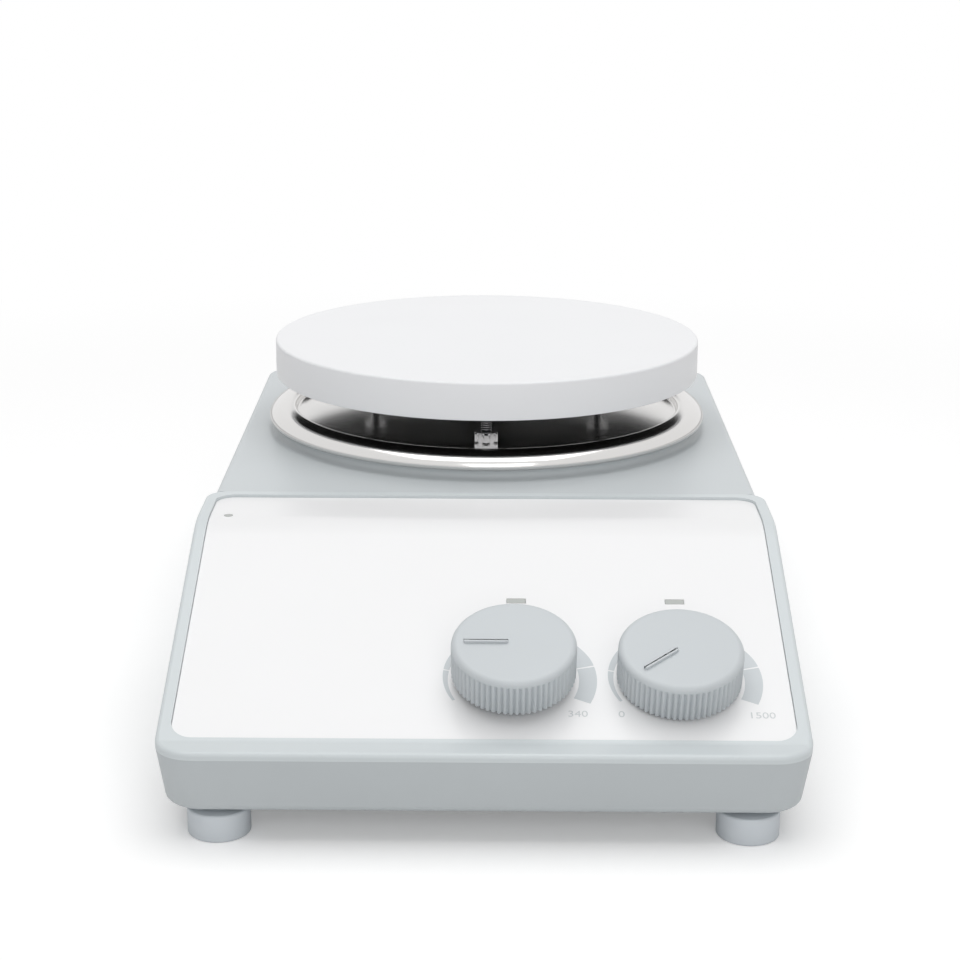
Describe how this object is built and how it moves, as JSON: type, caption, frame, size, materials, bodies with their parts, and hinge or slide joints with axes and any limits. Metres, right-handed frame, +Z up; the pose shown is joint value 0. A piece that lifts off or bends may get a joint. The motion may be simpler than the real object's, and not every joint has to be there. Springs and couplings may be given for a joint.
{
  "type": "magnetic stirrer hot plate",
  "caption": "Heated magnetic stirrer with a round coated work plate over a polished steel dish, sloping control panel with heat and speed knobs, and rubber feet.",
  "frame": {"origin": "under the middle of the instrument, on the surface it stands on", "axes": "+X to the right, +Y to the back, +Z up, seen from the control panel"},
  "size_m": [0.16, 0.28, 0.085],
  "materials": {
    "housing_grey": "fine satin powder coat, light cool grey",
    "bezel_grey": "fine-grained moulded plastic, light cool grey",
    "panel_white": "white printed overlay, soft gloss",
    "foot_rubber": "light grey rubber",
    "zinc_steel": "zinc plated",
    "lamp_clear": "milky clear",
    "board_green": "circuit board",
    "pot_metal": "plated cup",
    "knob_grey": "satin moulded plastic, mid grey",
    "shaft_brass": "turned",
    "dish_steel": "polished stainless steel",
    "silicone": "silicone",
    "post_steel": "bright turned steel",
    "plate_coating": "aluminium casting under a white satin coating",
    "heater_steel": "heat tinted",
    "insulation": "pressed mineral fibre",
    "cover_steel": "plain rolled",
    "lamination_steel": "stacked laminations",
    "black_plastic": "moulded",
    "rocker_black": "moulded",
    "copper_wire": "enamelled copper",
    "magnet_ferrite": "ground ferrite",
    "capacitor_sleeve": "shrink sleeve",
    "heatsink_aluminium": "extruded",
    "fuse_glass": "clear tube"
  },
  "bodies": {
    "housing": {"base_tray": "housing_grey", "rear_housing": "housing_grey", "front_bezel": "bezel_grey", "control_panel": "panel_white", "foot_front_left": "foot_rubber", "foot_front_right": "foot_rubber", "foot_rear_left": "foot_rubber", "foot_rear_right": "foot_rubber", "foot_screws": "zinc_steel", "case_screws": "zinc_steel", "board_screws": "zinc_steel", "motor_screws": "zinc_steel", "heat_lamp_window": "lamp_clear", "stir_lamp_window": "lamp_clear", "power_lamp_window": "lamp_clear", "indicator_lamps": "lamp_clear", "control_board": "board_green", "power_board": "board_green", "heat_potentiometer": "pot_metal", "stir_potentiometer": "pot_metal", "potentiometer_nuts": "zinc_steel", "drip_dish": "dish_steel", "dish_gasket": "silicone", "plate_posts": "post_steel", "post_nuts": "post_steel", "work_plate": "plate_coating", "heating_element": "heater_steel", "insulation_disc": "insulation", "plate_back_cover": "cover_steel", "temperature_sensor": "post_steel", "heater_leads": "silicone", "lead_grommet": "silicone", "motor_stator": "lamination_steel", "coil_bobbin": "black_plastic", "coil_winding": "copper_wire", "motor_upper_bracket": "cover_steel", "motor_lower_bracket": "cover_steel", "motor_bearings": "shaft_brass", "supply_transformer": "black_plastic", "smoothing_capacitors": "capacitor_sleeve", "terminal_block": "board_green", "triac_heatsink": "heatsink_aluminium", "triac": "black_plastic", "power_inlet": "black_plastic", "inlet_pins": "shaft_brass", "rocker_frame": "black_plastic", "rod_socket": "post_steel"},
    "heat_control": {"heat_knob": "knob_grey", "heat_shaft": "shaft_brass"},
    "stir_control": {"stir_knob": "knob_grey", "stir_shaft": "shaft_brass"},
    "stirrer": {"motor_rotor": "lamination_steel", "motor_shaft": "post_steel", "cooling_fan": "black_plastic", "magnet_holder": "black_plastic", "stir_magnets": "magnet_ferrite"},
    "rocker": {"power_rocker": "rocker_black"},
    "drawer": {"fuse_drawer": "black_plastic", "fuses": "fuse_glass"}
  },
  "joints": [
    {"name": "heat_turn", "type": "hinge", "parent": "housing", "child": "heat_control", "pos_m": [0.0073, -0.1105, 0.03316], "axis": [0, -0.3557, 0.9346], "range_deg": [-220, 40]},
    {"name": "stir_turn", "type": "hinge", "parent": "housing", "child": "stir_control", "pos_m": [0.0489, -0.1105, 0.03316], "axis": [0, -0.3557, 0.9346], "range_deg": [-260, 0]},
    {"name": "stirrer_spin", "type": "hinge", "parent": "housing", "child": "stirrer", "pos_m": [0, 0.058, 0.04], "axis": [0, 0, 1], "continuous": true},
    {"name": "rocker_tip", "type": "hinge", "parent": "housing", "child": "rocker", "pos_m": [0.03, 0.134, 0.039], "axis": [1, 0, 0], "range_deg": [0, 16]},
    {"name": "drawer_slide", "type": "slide", "parent": "housing", "child": "drawer", "axis": [0, 1, 0], "range_m": [0, 0.022]}
  ]
}
